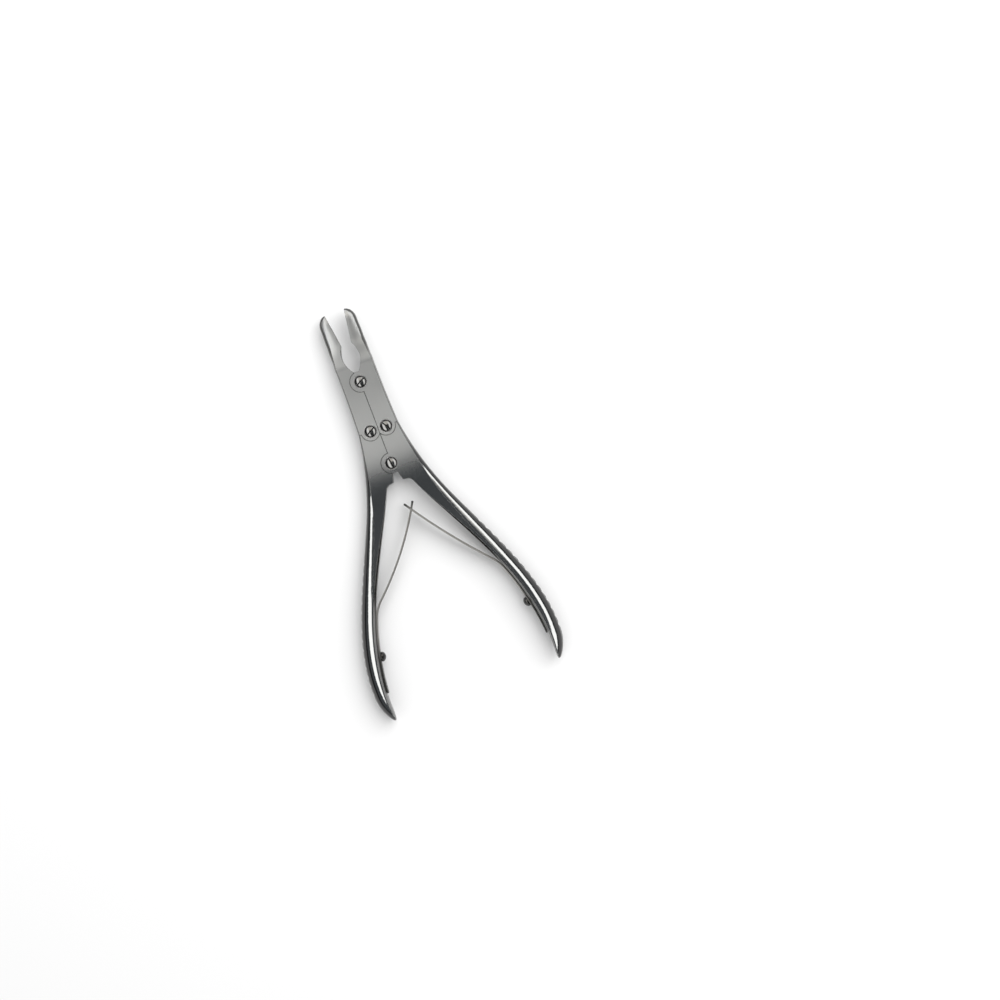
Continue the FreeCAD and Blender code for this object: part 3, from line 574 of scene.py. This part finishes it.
def makeStripTree():
    tree, nodes, links, start, end = newTree(
        "springStrip", "GeometryNodeTree",
        [("Geometry", "NodeSocketGeometry", None), ("Step", "NodeSocketFloat", 0.0005),
         ("Tip Half Width", "NodeSocketFloat", 0.002), ("Full Half Width", "NodeSocketFloat", 0.003),
         ("Taper Length", "NodeSocketFloat", 0.05), ("End Length", "NodeSocketFloat", 0.005),
         ("Head Length", "NodeSocketFloat", 0.001), ("Tail Round", "NodeSocketFloat", 0.001),
         ("Mid Height", "NodeSocketFloat", 0.005), ("Split Half", "NodeSocketFloat", 0.001),
         ("Line Length", "NodeSocketFloat", 0.1), ("Forked", "NodeSocketBool", False),
         ("Material", "NodeSocketMaterial", None)],
        [("Geometry", "NodeSocketGeometry")])
    given = start.outputs
    even = nodes.new("GeometryNodeResampleCurve")
    even.mode = "LENGTH"
    links.new(given["Geometry"], even.inputs["Curve"])
    links.new(given["Step"], even.inputs["Length"])
    upright = nodes.new("GeometryNodeSetCurveNormal")
    upright.mode = "Z_UP"
    links.new(even.outputs["Curve"], upright.inputs["Curve"])
    along = nodes.new("GeometryNodeSplineParameter")
    mark = nodes.new("GeometryNodeStoreNamedAttribute")
    mark.inputs["Name"].default_value = "fromTip"
    mark.domain = "POINT"
    links.new(upright.outputs["Curve"], mark.inputs["Geometry"])
    links.new(along.outputs["Length"], mark.inputs["Value"])
    # the section: four points up the width, whose real heights are set after the sweep
    section = nodes.new("GeometryNodeCurvePrimitiveLine")
    section.inputs["Start"].default_value = (0, -sectionHalf, 0)
    section.inputs["End"].default_value = (0, sectionHalf, 0)
    fourPoints = nodes.new("GeometryNodeResampleCurve")
    fourPoints.inputs["Count"].default_value = 4
    links.new(section.outputs["Curve"], fourPoints.inputs["Curve"])
    sweep = nodes.new("GeometryNodeCurveToMesh")
    links.new(mark.outputs["Geometry"], sweep.inputs["Curve"])
    links.new(fourPoints.outputs["Curve"], sweep.inputs["Profile Curve"])
    fromTip = nodes.new("GeometryNodeInputNamedAttribute")
    fromTip.inputs["Name"].default_value = "fromTip"
    distance = fromTip.outputs["Attribute"]
    place = nodes.new("GeometryNodeInputPosition")
    parts = nodes.new("ShaderNodeSeparateXYZ")
    links.new(place.outputs["Position"], parts.inputs["Vector"])
    height = mathNode(nodes, links, "SUBTRACT", parts.outputs["Z"], given["Mid Height"])
    side = mathNode(nodes, links, "SIGN", height)
    offMiddle = mathNode(nodes, links, "ABSOLUTE", height)
    outer = mathNode(nodes, links, "GREATER_THAN", offMiddle, sectionHalf * 2 / 3)
    half = rangeNode(nodes, links, distance, 0.0, given["Taper Length"], given["Tip Half Width"],
                     given["Full Half Width"])
    # rounded corners of the tail
    roundStart = mathNode(nodes, links, "SUBTRACT", given["Line Length"], given["Tail Round"])
    intoRound = mathNode(nodes, links, "SUBTRACT", distance, roundStart)
    share = mathNode(nodes, links, "DIVIDE", intoRound, given["Tail Round"], clamp=True)
    squared = mathNode(nodes, links, "MULTIPLY", share, share)
    arc = mathNode(nodes, links, "SQRT", mathNode(nodes, links, "SUBTRACT", 1.0, squared, clamp=True))
    lost = mathNode(nodes, links, "SUBTRACT", 1.0, arc)
    loss = mathNode(nodes, links, "MULTIPLY", given["Tail Round"], lost)
    half = mathNode(nodes, links, "SUBTRACT", half, loss)
    reach = nodes.new("ShaderNodeMix")
    links.new(outer, reach.inputs[0])
    links.new(given["Split Half"], reach.inputs[2])
    links.new(half, reach.inputs[3])
    newHeight = mathNode(nodes, links, "MULTIPLY_ADD", side, reach.outputs[0], given["Mid Height"])
    spot = nodes.new("ShaderNodeCombineXYZ")
    links.new(parts.outputs["X"], spot.inputs["X"])
    links.new(parts.outputs["Y"], spot.inputs["Y"])
    links.new(newHeight, spot.inputs["Z"])
    widen = nodes.new("GeometryNodeSetPosition")
    links.new(sweep.outputs["Mesh"], widen.inputs["Geometry"])
    links.new(spot.outputs["Vector"], widen.inputs["Position"])
    # fork: the middle strip goes within the end; T: the two outer strips go behind its head
    stripHalf = mathNode(nodes, links, "MULTIPLY", given["Split Half"], stripShare)
    middleStrip = mathNode(nodes, links, "LESS_THAN", offMiddle, stripHalf)
    outerStrips = mathNode(nodes, links, "SUBTRACT", 1.0, middleStrip)
    nearEnd = mathNode(nodes, links, "LESS_THAN", distance, given["End Length"])
    behindHead = mathNode(nodes, links, "GREATER_THAN", distance, given["Head Length"])
    neckRun = mathNode(nodes, links, "MULTIPLY", nearEnd, behindHead)
    slot = mathNode(nodes, links, "MULTIPLY", middleStrip, nearEnd)
    neck = mathNode(nodes, links, "MULTIPLY", outerStrips, neckRun)
    cut = nodes.new("GeometryNodeSwitch")
    cut.input_type = "FLOAT"
    links.new(given["Forked"], cut.inputs["Switch"])
    links.new(neck, cut.inputs["False"])
    links.new(slot, cut.inputs["True"])
    chosen = mathNode(nodes, links, "GREATER_THAN", cut.outputs["Output"], 0.5)
    drop = nodes.new("GeometryNodeDeleteGeometry")
    drop.domain = "FACE"
    links.new(widen.outputs["Geometry"], drop.inputs["Geometry"])
    links.new(chosen, drop.inputs["Selection"])
    real = nodes.new("GeometryNodeRealizeInstances")
    links.new(drop.outputs["Geometry"], real.inputs["Geometry"])
    paint = nodes.new("GeometryNodeSetMaterial")
    links.new(real.outputs["Geometry"], paint.inputs["Geometry"])
    links.new(given["Material"], paint.inputs["Material"])
    links.new(paint.outputs["Geometry"], end.inputs["Geometry"])
    return tree


stripTree = makeStripTree()


def leafLine(node, side):
    # outer face of the CAD leaf as a line from its tip to its tail, seen from above
    mesh = frame["nodes"][node].data
    spots = {}
    for face in mesh.polygons:
        if abs(face.normal.z) < leafSizes["levelLimit"] and face.normal.x * side > leafSizes["outward"]:
            for index in face.vertices:
                place = mesh.vertices[index].co
                spots[round(place.y / leafSizes["lineStep"])] = Vector((place.x, place.y, midZ))
    return [spots[key] for key in sorted(spots, reverse=True)]


def lineLength(points):
    return sum((after - before).length for before, after in zip(points, points[1:]))


def onLine(points, y):
    # point and direction of a leaf's line at a given y
    for before, after in zip(points, points[1:]):
        if before.y >= y >= after.y:
            share = (before.y - y) / (before.y - after.y)
            return before.lerp(after, share), (after - before).normalized()


def makeLeaf(node, side, forked):
    line = leafLine(node, side)
    values = dict(leafStrip)
    values["Split Half"] = leafSizes["forkHalf"] if forked else leafSizes["neckHalf"]
    values["Forked"] = forked
    values["Line Length"] = lineLength(line)
    values["Material"] = leafSteel
    strip = growMesh(lineObject(node + "_line", line, "NURBS"), stripTree, values, node + "_face")
    wall = strip.modifiers.new("thickness", "SOLIDIFY")
    wall.thickness = leafSizes["thick"]
    wall.offset = side               # the swept face looks out on the left leaf, in on the right one
    wall.use_even_offset = True
    leaf = finishEdges(strip, leafSizes["arris"], node + "_strip")
    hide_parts(node)
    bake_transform(leaf)
    return line


leafLines = {
    "left": makeLeaf("left_spring_leaf", -1, False),
    "right": makeLeaf("right_spring_leaf", 1, True),
}
print("spring leaves made")


# slotted screws: a lathe tree turns the profile and cuts the slot; sizes are in mm, and heights are
# from the lap of the plates for a pivot screw, from the leaf's face for a spring screw
pivotScrew = {
    "headRadius": 2.65, "shankRadius": 1.68,
    "threadRadius": 1.3, "threadDeep": 0.12, "threadPitch": 0.45,
    "domeTop": 3.6, "rim": 2.72, "seat": 1.96, "collar": 0.0, "bottom": -3.0,
    "slotWidth": 0.72, "slotDepth": 0.95, "arris": 0.05,
}
springScrew = {
    "headRadius": 2.25, "shankRadius": 1.1,
    "threadRadius": 1.08, "threadDeep": 0.1, "threadPitch": 0.4,
    "domeTop": 2.3, "rim": 1.05, "seat": 0.0, "collar": -0.9, "bottom": -4.9,
    "slotWidth": 0.6, "slotDepth": 0.95, "arris": 0.05,
}
threadShape = {
    "domeSteps": 14,
    "rootDrop": 0.05,                # a root lies this far below the start of its pitch
    "tailLength": 0.3,               # bare end below the ridges
    "tailTaper": 0.2,                # chamfer of that end
}
slotTurns = {                        # degrees of each slot, from the photograph
    "front_pivot_screw": 28, "left_link_screw": 30, "right_link_screw": -60, "rear_pivot_screw": -79,
}
springScrewSpot = {
    "alongY": -63.0 * mm,
    "gap": 0.02 * mm,                # between the leaf's face and the head
}


def screwProfile(sizes):
    # radius and height from the top of the dome down to the end of the thread
    radius = sizes["headRadius"]
    rise = sizes["domeTop"] - sizes["rim"]
    ball = (radius ** 2 + rise ** 2) / (2 * rise)
    steps = threadShape["domeSteps"]
    points = []
    for step in range(steps + 1):
        out = radius * math.sin(math.radians(90 * step / steps))
        points.append((out, sizes["domeTop"] - ball + math.sqrt(ball ** 2 - out ** 2)))
    shank = sizes["shankRadius"]
    points += [(radius, sizes["seat"]), (shank, sizes["seat"]), (shank, sizes["collar"])]
    root = sizes["threadRadius"] - sizes["threadDeep"]
    pitch = sizes["threadPitch"]
    threadLength = sizes["collar"] - sizes["bottom"] - threadShape["tailLength"]
    for ridge in range(int(threadLength / pitch)):
        top = sizes["collar"] - ridge * pitch
        points.append((root, top - threadShape["rootDrop"]))
        points.append((sizes["threadRadius"], top - pitch / 2))
    taper = threadShape["tailTaper"]
    points += [(root, sizes["bottom"] + taper), (root - taper, sizes["bottom"]), (0, sizes["bottom"])]
    return points


latheSizes = {
    "turns": 72,
    "axisRadius": 0.0000001,         # the profile goes round a circle of almost no size
    "weld": 0.000002,                # joins the points that meet on the axis
    "cutterLength": 0.008,
    "slotHalf": 0.502,               # the slot's material goes to faces within this share of its width
    "slotReach": 1.01,               # and of its depth
}


def makeLatheTree():
    tree, nodes, links, start, end = newTree(
        "slottedScrew", "GeometryNodeTree",
        [("Geometry", "NodeSocketGeometry", None), ("Turns", "NodeSocketInt", latheSizes["turns"]),
         ("Top", "NodeSocketFloat", 0.003), ("Slot Width", "NodeSocketFloat", 0.0007),
         ("Slot Depth", "NodeSocketFloat", 0.0008), ("Material", "NodeSocketMaterial", None),
         ("Slot Material", "NodeSocketMaterial", None)],
        [("Geometry", "NodeSocketGeometry")])
    given = start.outputs
    circle = nodes.new("GeometryNodeCurvePrimitiveCircle")
    circle.inputs["Radius"].default_value = latheSizes["axisRadius"]
    links.new(given["Turns"], circle.inputs["Resolution"])
    sweep = nodes.new("GeometryNodeCurveToMesh")
    links.new(circle.outputs["Curve"], sweep.inputs["Curve"])
    links.new(given["Geometry"], sweep.inputs["Profile Curve"])
    weld = nodes.new("GeometryNodeMergeByDistance")
    weld.inputs["Distance"].default_value = latheSizes["weld"]
    links.new(sweep.outputs["Mesh"], weld.inputs["Geometry"])
    size = nodes.new("ShaderNodeCombineXYZ")
    size.inputs["X"].default_value = latheSizes["cutterLength"]
    links.new(given["Slot Width"], size.inputs["Y"])
    links.new(mathNode(nodes, links, "MULTIPLY", given["Slot Depth"], 2.0), size.inputs["Z"])
    cutter = nodes.new("GeometryNodeMeshCube")
    links.new(size.outputs["Vector"], cutter.inputs["Size"])
    lift = nodes.new("ShaderNodeCombineXYZ")
    links.new(given["Top"], lift.inputs["Z"])
    raised = nodes.new("GeometryNodeTransform")
    links.new(cutter.outputs["Mesh"], raised.inputs["Geometry"])
    links.new(lift.outputs["Vector"], raised.inputs["Translation"])
    carve = nodes.new("GeometryNodeMeshBoolean")
    carve.operation = "DIFFERENCE"
    carve.solver = "EXACT"
    links.new(weld.outputs["Geometry"], carve.inputs["Mesh 1"])
    links.new(raised.outputs["Geometry"], carve.inputs["Mesh 2"])
    place = nodes.new("GeometryNodeInputPosition")
    parts = nodes.new("ShaderNodeSeparateXYZ")
    links.new(place.outputs["Position"], parts.inputs["Vector"])
    aside = mathNode(nodes, links, "ABSOLUTE", parts.outputs["Y"])
    slotHalf = mathNode(nodes, links, "MULTIPLY", given["Slot Width"], latheSizes["slotHalf"])
    withinSlot = mathNode(nodes, links, "LESS_THAN", aside, slotHalf)
    slotReach = mathNode(nodes, links, "MULTIPLY", given["Slot Depth"], latheSizes["slotReach"])
    slotFloor = mathNode(nodes, links, "SUBTRACT", given["Top"], slotReach)
    above = mathNode(nodes, links, "GREATER_THAN", parts.outputs["Z"], slotFloor)
    inSlot = mathNode(nodes, links, "MULTIPLY", withinSlot, above)
    real = nodes.new("GeometryNodeRealizeInstances")
    links.new(carve.outputs["Mesh"], real.inputs["Geometry"])
    paint = nodes.new("GeometryNodeSetMaterial")
    links.new(real.outputs["Geometry"], paint.inputs["Geometry"])
    links.new(given["Material"], paint.inputs["Material"])
    paintSlot = nodes.new("GeometryNodeSetMaterial")
    links.new(paint.outputs["Geometry"], paintSlot.inputs["Geometry"])
    links.new(inSlot, paintSlot.inputs["Selection"])
    links.new(given["Slot Material"], paintSlot.inputs["Material"])
    links.new(paintSlot.outputs["Geometry"], end.inputs["Geometry"])
    return tree


latheTree = makeLatheTree()


def makeScrew(node, sizes, place, material, body):
    profile = [(radius * mm, -height * mm, 0) for radius, height in screwProfile(sizes)]
    values = {
        "Turns": latheSizes["turns"], "Top": sizes["domeTop"] * mm,
        "Slot Width": sizes["slotWidth"] * mm, "Slot Depth": sizes["slotDepth"] * mm,
        "Material": material, "Slot Material": slotShadeSteel,
    }
    turned = growMesh(lineObject(node + "_profile", profile), latheTree, values, node + "_turned")
    turned.data.transform(place)
    piece = finishEdges(turned, sizes["arris"] * mm, node + "_slotted")
    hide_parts(node)
    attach(piece, body)


for node, body in pivotScrews.items():
    centre = boxCentre(node)
    turn = Matrix.Rotation(math.radians(slotTurns[node]), 4, "Z")
    place = Matrix.Translation((centre.x, centre.y, midZ)) @ turn
    makeScrew(node, pivotScrew, place, screwSteel, body)

for side, sign in (("left", -1), ("right", 1)):
    spot, along = onLine(leafLines[side], springScrewSpot["alongY"])
    inward = Vector((along.y, -along.x, 0)) * sign
    base = spot + inward * (leafSizes["thick"] + springScrewSpot["gap"])
    upright = Vector((0, 0, 1))
    turn = Matrix((upright.cross(inward), upright, inward)).transposed().to_4x4()
    place = Matrix.Translation(base) @ turn
    makeScrew(side + "_spring_screw", springScrew, place, springScrewSteel,
              side + "_handle")
print("screws made")


# floor, world and lamp
floorSheet = {
    "size": 12.0,
    "colour": (0.83, 0.83, 0.83),
    "rough": 0.9,
    "drop": 0.0001,                   # below the instrument
}


def makeFloor(values):
    mesh = bpy.data.meshes.new("floor")
    half = values["size"] / 2
    height = cadBox[0][2] - values["drop"]
    corners = [(x * half, y * half, height) for x, y in ((-1, -1), (1, -1), (1, 1), (-1, 1))]
    mesh.from_pydata(corners, [], [(0, 1, 2, 3)])
    floor = linkObject("floor", mesh)
    material, nodes, links, shader = newMaterial("floorPaper")
    shader.inputs["Base Color"].default_value = (*values["colour"], 1)
    shader.inputs["Roughness"].default_value = values["rough"]
    shader.inputs["Specular IOR Level"].default_value = 0.0
    mesh.materials.append(material)


# what the steel sees: a black cloth round the camera, a soft box in front and one at each side. Angles
# are in degrees from straight above: where an area starts, where it ends, and how softly
sky = {
    "plain": 0.85,                    # what lights the floor and all that isn't a mirror image
    "ceiling": (0.48, 0.49, 0.5),
    "areas": [
        {"colour": (0.062, 0.066, 0.070), "across": (-15, 33, 2.5), "along": (-72, 16, 8)},
        {"colour": (0.92, 0.88, 0.82), "across": (-14, 33, 4), "along": (17, 60, 9)},
        {"colour": (1.45, 1.44, 1.42), "across": (-44, -15, 1.2), "along": (-62, 62, 6)},
        {"colour": (1.45, 1.44, 1.42), "across": (33, 60, 1.2), "along": (-62, 62, 6)},
    ],
    "cardColour": (0.062, 0.066, 0.070),
    "cardsAcross": [(-92, -44, 1.0), (60, 76, 1.0)],
    "cardsAlong": (-80, 80, 3),
    "wallColour": (1.0, 1.0, 1.0),
    "wallTop": (14.0, 18.0),          # height over the horizon where the white wall ends
}


def makeWorld(values):
    world = bpy.data.worlds.new("studioSky")
    bpy.context.scene.world = world
    world.use_nodes = True
    nodes, links = world.node_tree.nodes, world.node_tree.links
    nodes.clear()
    place = nodes.new("ShaderNodeTexCoord")
    split = nodes.new("ShaderNodeSeparateXYZ")
    links.new(place.outputs["Generated"], split.inputs["Vector"])
    path = nodes.new("ShaderNodeLightPath")

    def tilt(axis):
        angle = mathNode(nodes, links, "ARCTAN2", split.outputs[axis], split.outputs["Z"])
        return mathNode(nodes, links, "DEGREES", angle)

    def between(angle, low, high, soft):
        rise = rangeNode(nodes, links, angle, low - soft, low + soft, smooth=True)
        fall = rangeNode(nodes, links, angle, high - soft, high + soft, 1.0, 0.0, smooth=True)
        return mathNode(nodes, links, "MULTIPLY", rise, fall)

    def without(mask):
        return mathNode(nodes, links, "SUBTRACT", 1.0, mask)

    across = tilt("X")
    along = tilt("Y")
    colour = (*values["ceiling"], 1)
    for area in values["areas"]:
        mask = mathNode(nodes, links, "MULTIPLY", between(across, *area["across"]),
                        between(along, *area["along"]))
        colour = mixColour(nodes, links, mask, colour, (*area["colour"], 1))
    # black cards low on the left and on the right, which only the steel sees
    leftCard, rightCard = (between(across, *card) for card in values["cardsAcross"])
    card = mathNode(nodes, links, "MAXIMUM", leftCard, rightCard)
    card = mathNode(nodes, links, "MULTIPLY", card, between(along, *values["cardsAlong"]))
    card = mathNode(nodes, links, "MULTIPLY", card, without(path.outputs["Is Camera Ray"]))
    colour = mixColour(nodes, links, card, colour, (*values["cardColour"], 1))
    # white wall all round, low down
    rise = mathNode(nodes, links, "DEGREES", mathNode(nodes, links, "ARCSINE", split.outputs["Z"]))
    wall = rangeNode(nodes, links, rise, *values["wallTop"], 1.0, 0.0, smooth=True)
    wall = mathNode(nodes, links, "MULTIPLY", wall, without(card))
    colour = mixColour(nodes, links, wall, colour, (*values["wallColour"], 1))
    seen = nodes.new("ShaderNodeBackground")
    links.new(colour, seen.inputs["Color"])
    plain = nodes.new("ShaderNodeBackground")
    plain.inputs["Color"].default_value = (1, 1, 1, 1)
    plain.inputs["Strength"].default_value = values["plain"]
    sharp = path.outputs["Is Camera Ray"]
    for kind in ("Is Glossy Ray", "Is Transmission Ray"):
        sharp = mathNode(nodes, links, "MAXIMUM", sharp, path.outputs[kind])
    choose = nodes.new("ShaderNodeMixShader")
    links.new(sharp, choose.inputs["Fac"])
    links.new(plain.outputs["Background"], choose.inputs[1])
    links.new(seen.outputs["Background"], choose.inputs[2])
    output = nodes.new("ShaderNodeOutputWorld")
    links.new(choose.outputs["Shader"], output.inputs["Surface"])


keyLamp = {
    "place": (0.5, 0.35, 0.75),       # it looks at the origin from here
    "size": 1.1,
    "power": 8.4,
}


def makeKey(values):
    data = bpy.data.lights.new("keyLamp", "AREA")
    data.size = values["size"]
    data.energy = values["power"]
    lamp = linkObject("keyLamp", data)
    lamp.location = values["place"]
    lamp.rotation_euler = Vector(values["place"]).to_track_quat("Z", "Y").to_euler()
    lamp.visible_glossy = False


makeFloor(floorSheet)
makeWorld(sky)
makeKey(keyLamp)
bpy.context.scene.view_settings.view_transform = "Standard"
print("studio ready")
